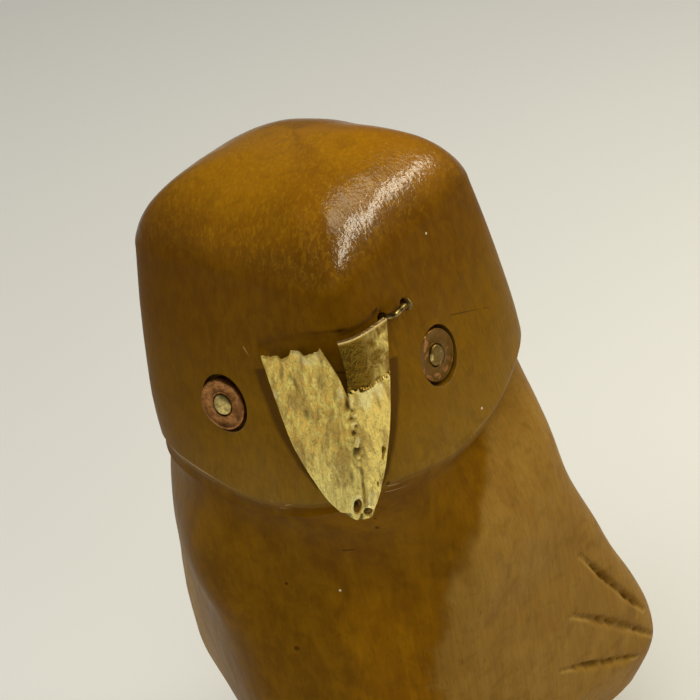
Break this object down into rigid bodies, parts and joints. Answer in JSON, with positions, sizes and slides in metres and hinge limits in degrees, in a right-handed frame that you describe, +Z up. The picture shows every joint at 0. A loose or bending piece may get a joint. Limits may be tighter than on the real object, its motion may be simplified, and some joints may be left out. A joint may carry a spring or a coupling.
{
  "type": "wooden owl figurine",
  "caption": "Small carved wooden owl with a turned head, a folded sheet-brass beak and round inlaid metal eyes, standing on a low round foot.",
  "frame": {"origin": "centre of the flat underside of the low round foot", "axes": "+Z up, -Y the way the breast faces, +X the owl's own left, towards which the head is turned"},
  "size_m": [0.0578, 0.045, 0.094],
  "materials": {
    "carved_wood": "satin varnish over a honey-brown, close-grained wood with a mottled figure",
    "beak_brass": "crumpled thin sheet, bright with streaks and dull spots",
    "eye_copper": "tarnished copper, brushed and scratched",
    "pin_brass": "rubbed bright on top, dull at the rim",
    "nail_metal": "dull, browned with varnish"
  },
  "bodies": {
    "root": {"owl_carving": "carved_wood", "beak_sheet": "beak_brass", "eye_disc_left": "eye_copper", "eye_disc_right": "eye_copper", "eye_pin_left": "pin_brass", "eye_pin_right": "pin_brass", "beak_nail_tip_left": "nail_metal", "beak_nail_tip_right": "nail_metal", "beak_nail_corner": "nail_metal"}
  },
  "joints": []
}
